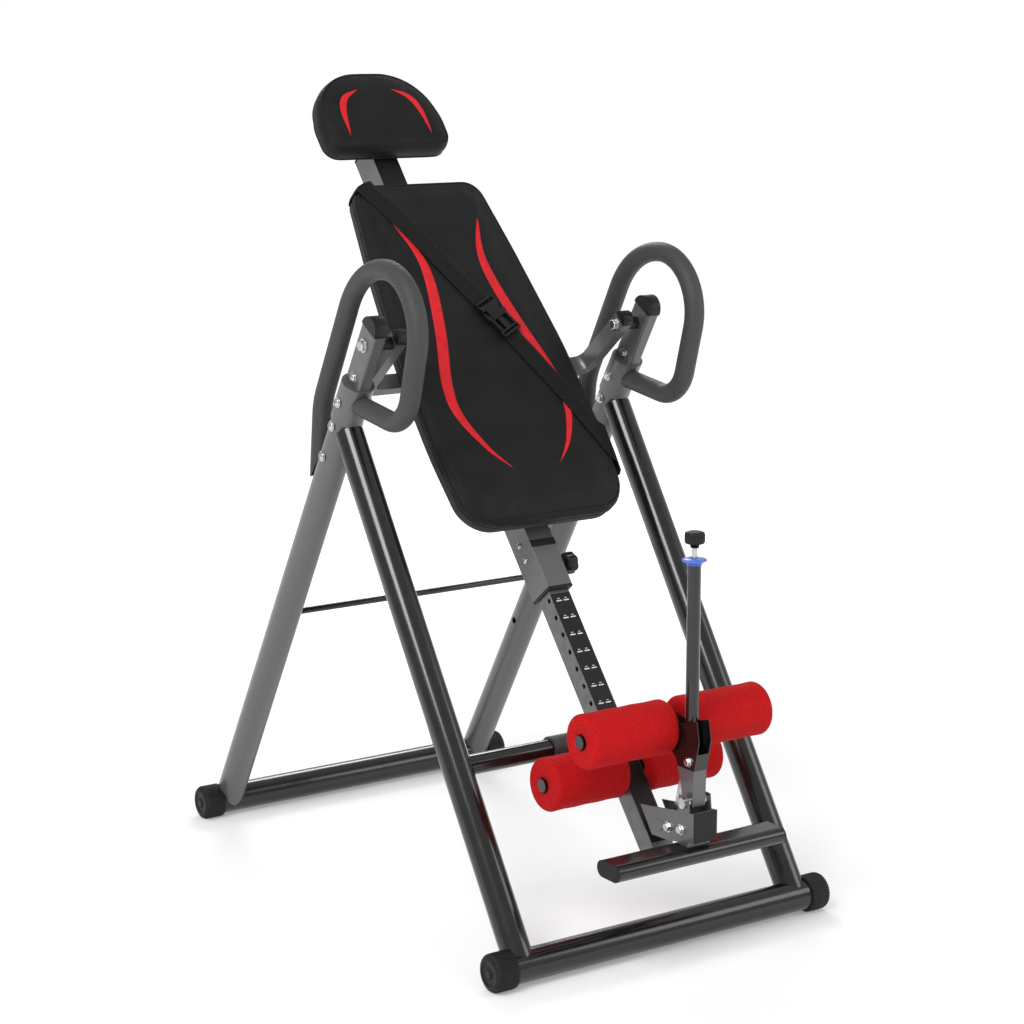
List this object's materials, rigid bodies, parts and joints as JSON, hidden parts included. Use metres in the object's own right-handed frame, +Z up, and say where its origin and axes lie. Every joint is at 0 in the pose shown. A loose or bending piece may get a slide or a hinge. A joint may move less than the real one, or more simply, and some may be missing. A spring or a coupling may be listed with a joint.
{
  "type": "inversion table",
  "caption": "A-frame inversion table: padded bed that tilts on side pivots, sliding height rail with pull pin, ankle lever with foam rollers, looped hand grips and lap belt.",
  "frame": {"origin": "on the floor, at the middle of the whole object's box", "axes": "+Z up, +Y to the rear where the head end leans, +X to the right of the person on the bed"},
  "size_m": [0.69, 1.165, 1.4238],
  "materials": {
    "gloss_black": "gloss black powder coat",
    "grey_paint": "satin grey powder coat with a fine fleck",
    "rail_steel": "bright plated tube",
    "rubber_black": "ribbed moulded rubber",
    "black_plastic": "moulded",
    "grip_foam": null,
    "bright_steel": "zinc plated",
    "board_wood": "plain ply board",
    "pad_fabric": "black nylon with red piped stripes",
    "webbing": "woven nylon webbing",
    "disc_blue": "blue moulded disc",
    "roller_foam": null
  },
  "bodies": {
    "frame": {"front_base_tube": "gloss_black", "rear_base_tube": "gloss_black", "front_base_caps": "rubber_black", "rear_base_caps": "rubber_black", "left_front_leg": "gloss_black", "right_front_leg": "gloss_black", "left_rear_leg": "grey_paint", "right_rear_leg": "grey_paint", "left_upright": "grey_paint", "right_upright": "grey_paint", "upright_caps": "black_plastic", "left_collar": "grey_paint", "right_collar": "grey_paint", "crossbar": "gloss_black", "crossbar_bumper": "grip_foam", "handle_tubes": "grey_paint", "left_handle_grip": "grip_foam", "right_handle_grip": "grip_foam", "angle_limit_bar": "gloss_black", "frame_bolts": "bright_steel", "pivot_bushes": "black_plastic"},
    "bed": {"left_bed_arm": "grey_paint", "right_bed_arm": "grey_paint", "bed_cross_tube": "grey_paint", "bed_arm_caps": "black_plastic", "pivot_bolts": "bright_steel", "main_beam": "grey_paint", "beam_liners": "black_plastic", "knob_boss": "black_plastic", "pad_brackets": "gloss_black", "backrest_board": "board_wood", "backrest_pad": "pad_fabric", "belt_strap": "webbing", "belt_buckle": "black_plastic"},
    "headrest": {"headrest_post": "grey_paint", "headrest_plate": "gloss_black", "headrest_pad": "pad_fabric"},
    "height_rail": {"height_rail": "rail_steel", "rail_end_cap": "black_plastic", "rear_roller_axle": "gloss_black", "foot_bar": "gloss_black", "foot_bar_caps": "black_plastic", "ankle_bracket": "grey_paint", "foot_bar_saddle": "grey_paint", "ratchet_plate": "bright_steel", "bracket_bolts": "bright_steel", "lever_pivot_pin": "bright_steel"},
    "height_knob": {"height_knob": "black_plastic", "height_pin": "bright_steel"},
    "ankle_lever": {"lever_link": "grey_paint", "lever_clamp": "gloss_black", "lever_tube": "gloss_black", "lever_disc": "disc_blue", "front_roller_axle": "gloss_black"},
    "release": {"release_rod": "bright_steel", "release_knob": "black_plastic"},
    "rear_roller_left": {"rear_roller_left": "roller_foam"},
    "rear_roller_right": {"rear_roller_right": "roller_foam"},
    "front_roller_left": {"front_roller_left": "roller_foam"},
    "front_roller_right": {"front_roller_right": "roller_foam"}
  },
  "joints": [
    {"name": "bed_tilt", "type": "hinge", "parent": "frame", "child": "bed", "pos_m": [0, -0.0167, 0.9811], "axis": [-1, 0, 0], "range_deg": [0, 88]},
    {"name": "height_slide", "type": "slide", "parent": "bed", "child": "height_rail", "axis": [0, -0.6361, -0.7716], "range_m": [0, 0.132]},
    {"name": "height_pin_pull", "type": "slide", "parent": "bed", "child": "height_knob", "axis": [1, 0, 0], "range_m": [0, 0.012], "stiffness_N_per_m": 600, "springref_m": -0.01},
    {"name": "headrest_slide", "type": "slide", "parent": "bed", "child": "headrest", "axis": [0, 0.6361, 0.7716], "range_m": [0, 0.06]},
    {"name": "ankle_lever_swing", "type": "hinge", "parent": "height_rail", "child": "ankle_lever", "pos_m": [0, -0.5535, 0.279], "axis": [-1, 0, 0], "range_deg": [-35, 10]},
    {"name": "release_pull", "type": "slide", "parent": "ankle_lever", "child": "release", "axis": [0, 0, 1], "range_m": [0, 0.01], "stiffness_N_per_m": 400, "springref_m": -0.01},
    {"name": "rear_left_spin", "type": "hinge", "parent": "height_rail", "child": "rear_roller_left", "pos_m": [-0.098, -0.37176, 0.28626], "axis": [1, 0, 0], "continuous": true},
    {"name": "rear_right_spin", "type": "hinge", "parent": "height_rail", "child": "rear_roller_right", "pos_m": [0.098, -0.37176, 0.28626], "axis": [1, 0, 0], "continuous": true},
    {"name": "front_left_spin", "type": "hinge", "parent": "ankle_lever", "child": "front_roller_left", "pos_m": [-0.097, -0.4891, 0.3908], "axis": [1, 0, 0], "continuous": true},
    {"name": "front_right_spin", "type": "hinge", "parent": "ankle_lever", "child": "front_roller_right", "pos_m": [0.097, -0.4891, 0.3908], "axis": [1, 0, 0], "continuous": true}
  ]
}
